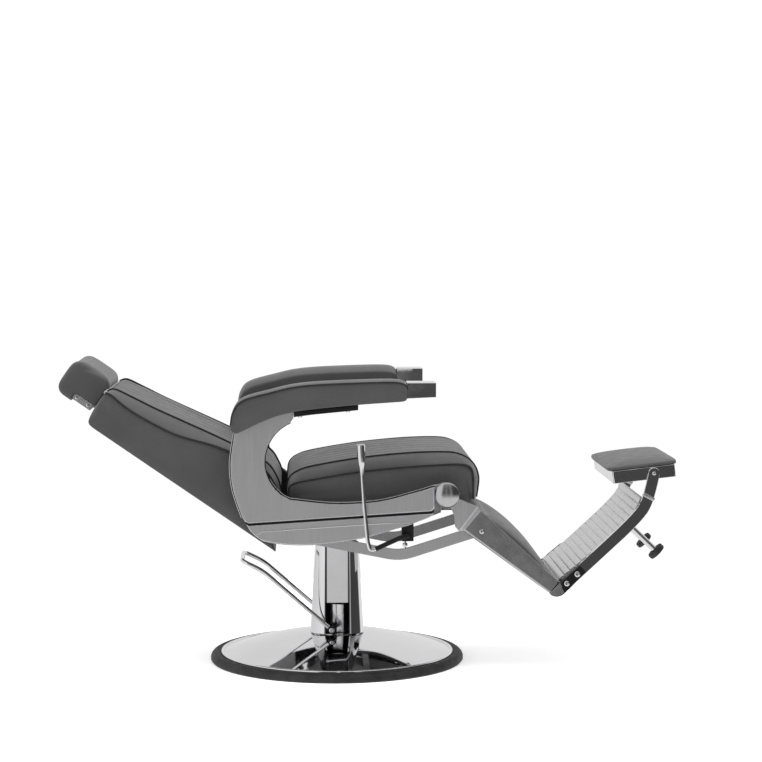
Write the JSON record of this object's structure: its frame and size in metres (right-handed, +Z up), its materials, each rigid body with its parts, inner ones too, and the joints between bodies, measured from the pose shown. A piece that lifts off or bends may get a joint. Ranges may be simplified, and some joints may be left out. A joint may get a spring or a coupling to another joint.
{
  "type": "reclining barber chair",
  "caption": "Reclining barber chair on a round pump base, with linked back and leg rest, sliding headrest, padded arms, flip-over footrest and foot pedal",
  "frame": {"origin": "centre of the base's underside on the floor", "axes": "+X the way the sitter faces, +Y to the sitter's left, +Z up"},
  "size_m": [1.5424, 0.668, 0.7802],
  "materials": {
    "rubber_black": "matte",
    "steel_dark": "satin",
    "chrome": "polished",
    "satin_aluminium": "satin",
    "polished_aluminium": "gloss",
    "black_paint": "satin",
    "grey_vinyl": "satin",
    "covered_board": "satin",
    "plywood": "matte"
  },
  "bodies": {
    "base": {"floor_ring": "rubber_black", "base_plate": "steel_dark", "base_dome": "chrome", "base_collar": "chrome", "column_cover": "chrome", "pump_body": "chrome"},
    "pedal": {"pedal_shaft": "black_paint", "pedal_lever": "chrome"},
    "piston": {"lift_piston": "chrome"},
    "seat": {"swivel_hub": "steel_dark", "front_crossbar": "steel_dark", "rear_crossbar": "steel_dark", "seat_board": "plywood", "seat_cushion": "grey_vinyl", "side_frame_near": "polished_aluminium", "side_frame_far": "polished_aluminium", "side_panel_near": "satin_aluminium", "side_panel_far": "satin_aluminium", "skirt_panel_near": "satin_aluminium", "skirt_panel_far": "satin_aluminium", "arm_bracket_near": "black_paint", "arm_bracket_far": "black_paint", "arm_pad_near": "grey_vinyl", "arm_pad_far": "grey_vinyl", "arm_cap_near": "chrome", "arm_cap_far": "chrome", "back_hinge_pin_near": "steel_dark", "back_hinge_pin_far": "steel_dark", "leg_hinge_pin_near": "steel_dark", "leg_hinge_pin_far": "steel_dark", "lever_block": "black_paint", "strut_cylinder": "black_paint"},
    "lever": {"recline_lever": "chrome"},
    "strut": {"strut_rod": "chrome"},
    "back": {"back_board": "covered_board", "back_cushion": "grey_vinyl", "back_arm_near": "steel_dark", "back_arm_far": "steel_dark", "link_rod": "steel_dark", "headrest_socket": "steel_dark"},
    "post": {"headrest_post": "chrome"},
    "head": {"headrest_pad": "grey_vinyl"},
    "legrest": {"leg_ear_near": "satin_aluminium", "leg_ear_far": "satin_aluminium", "calf_tray": "satin_aluminium", "calf_pad": "grey_vinyl", "ankle_bracket_near": "black_paint", "ankle_bracket_far": "black_paint", "foot_bar_near": "chrome", "foot_bar_far": "chrome", "tread_plate": "satin_aluminium", "floor_leg_near": "chrome", "floor_leg_far": "chrome", "floor_foot_near": "rubber_black", "floor_foot_far": "rubber_black"},
    "links": {"link_near": "satin_aluminium", "link_far": "satin_aluminium"},
    "footrest": {"foot_tray": "chrome", "foot_pad": "grey_vinyl"}
  },
  "joints": [
    {"name": "pump_lift", "type": "slide", "parent": "base", "child": "piston", "axis": [0, 0, 1], "range_m": [0, 0.14]},
    {"name": "swivel", "type": "hinge", "parent": "piston", "child": "seat", "pos_m": [0, 0, 0.35], "axis": [0, 0, 1], "continuous": true},
    {"name": "pedal_press", "type": "hinge", "parent": "base", "child": "pedal", "pos_m": [-0.0145, 0, 0.0883], "axis": [0, -1, 0], "range_deg": [0, 28], "stiffness_Nm_per_rad": 3, "springref_deg": -28.65},
    {"name": "lever_pull", "type": "hinge", "parent": "seat", "child": "lever", "pos_m": [0.168, -0.29, 0.3581], "axis": [0, 1, 0], "range_deg": [0, 12], "stiffness_Nm_per_rad": 1.5, "springref_deg": -5.73},
    {"name": "back_recline", "type": "hinge", "parent": "seat", "child": "back", "pos_m": [-0.185, 0, 0.4646], "axis": [0, 1, 0], "range_deg": [0, 46]},
    {"name": "strut_stroke", "type": "slide", "parent": "seat", "child": "strut", "axis": [-1, 0, 0], "range_m": [0, 0.062]},
    {"name": "post_raise", "type": "slide", "parent": "back", "child": "post", "axis": [-0.8231, 0, 0.5678], "range_m": [0, 0.1]},
    {"name": "head_tilt", "type": "hinge", "parent": "post", "child": "head", "pos_m": [-0.65304, 0, 0.68744], "axis": [0, 1, 0], "range_deg": [-25, 0]},
    {"name": "leg_swing", "type": "hinge", "parent": "seat", "child": "legrest", "pos_m": [0.267, 0, 0.4546], "axis": [0, 1, 0], "range_deg": [0, 30.5]},
    {"name": "link_swing", "type": "hinge", "parent": "legrest", "child": "links", "pos_m": [0.357, 0, 0.3526], "axis": [0, 1, 0], "range_deg": [-27, 0]},
    {"name": "footrest_flip", "type": "hinge", "parent": "legrest", "child": "footrest", "pos_m": [0.79, 0, 0.4966], "axis": [0, 1, 0], "range_deg": [0, 180]}
  ],
  "couplings": [
    {"joint": "leg_swing", "follows": "back_recline", "ratio": 0.663},
    {"joint": "link_swing", "follows": "back_recline", "ratio": -0.5858},
    {"joint": "strut_stroke", "follows": "back_recline", "m_per_rad": 0.0761}
  ]
}
